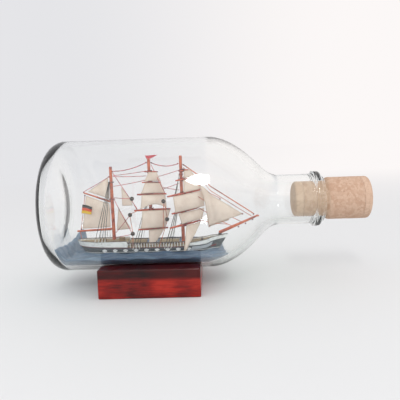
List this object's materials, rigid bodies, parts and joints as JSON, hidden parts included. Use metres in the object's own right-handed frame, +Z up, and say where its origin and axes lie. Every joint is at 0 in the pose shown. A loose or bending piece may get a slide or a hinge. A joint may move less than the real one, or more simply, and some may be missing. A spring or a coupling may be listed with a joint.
{
  "type": "ship in a bottle",
  "caption": "Three-masted barque in a putty sea inside a clear glass bottle, closed by a wine cork and lying in a varnished wooden cradle.",
  "frame": {"origin": "centre of the cradle's underside", "axes": "+X along the bottle towards the neck and cork, +Z up, the ship's bow points to +X"},
  "size_m": [0.1794, 0.074, 0.0833],
  "materials": {
    "agglomerated_cork": "pressed cork granules, dry and matt",
    "black_bead": "small glossy black bead",
    "clear_glass": "clear blown bottle glass with a faint green tint",
    "flag_cloth": "three-stripe printed cotton",
    "house_wood": "brown painted wood",
    "hull_paint": "dark grey brushed hull paint, satin",
    "natural_cork": "natural cork disc with pores",
    "pennant_paper": "red paper pennant",
    "rigging_thread": "fine waxed cotton thread",
    "sail_cloth": "stiffened cream cotton",
    "sea_putty": "slate blue modelling putty, hand textured",
    "stained_spar": "thin dowels with orange-red stain",
    "varnished_wood": "red-stained beech under glossy varnish",
    "white_paint": "white satin paint, slightly grey at the edges"
  },
  "bodies": {
    "stand": {"stand": "varnished_wood"},
    "bottle": {"aft_deckhouse": "house_wood", "bead_1": "black_bead", "bead_2": "black_bead", "bead_3": "black_bead", "bead_4": "black_bead", "bead_5": "black_bead", "boom": "stained_spar", "bottle": "clear_glass", "bowsprit": "stained_spar", "flag": "flag_cloth", "flag_halyard": "rigging_thread", "fore_course": "sail_cloth", "fore_course_yard": "stained_spar", "fore_mast": "stained_spar", "fore_royal": "sail_cloth", "fore_royal_yard": "stained_spar", "fore_shrouds": "rigging_thread", "fore_skysail_yard": "stained_spar", "fore_topgallant": "sail_cloth", "fore_topgallant_yard": "stained_spar", "fore_topsail": "sail_cloth", "fore_topsail_yard": "stained_spar", "fore_upper_topsail": "sail_cloth", "forecastle": "white_paint", "gaff": "stained_spar", "gaff_topsail": "sail_cloth", "head_stay": "rigging_thread", "hull": "hull_paint", "inner_jib": "sail_cloth", "jib": "sail_cloth", "main_course": "sail_cloth", "main_course_yard": "stained_spar", "main_fore_stay": "rigging_thread", "main_mast": "stained_spar", "main_royal": "sail_cloth", "main_royal_yard": "stained_spar", "main_shrouds": "rigging_thread", "main_skysail_yard": "stained_spar", "main_staysail": "sail_cloth", "main_topgallant": "sail_cloth", "main_topgallant_yard": "stained_spar", "main_topsail": "sail_cloth", "main_topsail_yard": "stained_spar", "main_upper_topsail": "sail_cloth", "midship_deckhouse": "house_wood", "mizzen_main_stay": "rigging_thread", "mizzen_mast": "stained_spar", "mizzen_shrouds": "rigging_thread", "mizzen_staysail": "sail_cloth", "pennant": "pennant_paper", "poop": "white_paint", "sea": "sea_putty", "spanker": "sail_cloth"},
    "cork": {"cork_body": "agglomerated_cork", "cork_inner_disc": "natural_cork", "cork_outer_disc": "natural_cork"}
  },
  "joints": [
    {"name": "bottle_lift", "type": "slide", "parent": "stand", "child": "bottle", "axis": [0, 0, 1], "range_m": [0, 0.06]},
    {"name": "cork_pull", "type": "slide", "parent": "bottle", "child": "cork", "axis": [1, 0, 0], "range_m": [0, 0.022]}
  ]
}
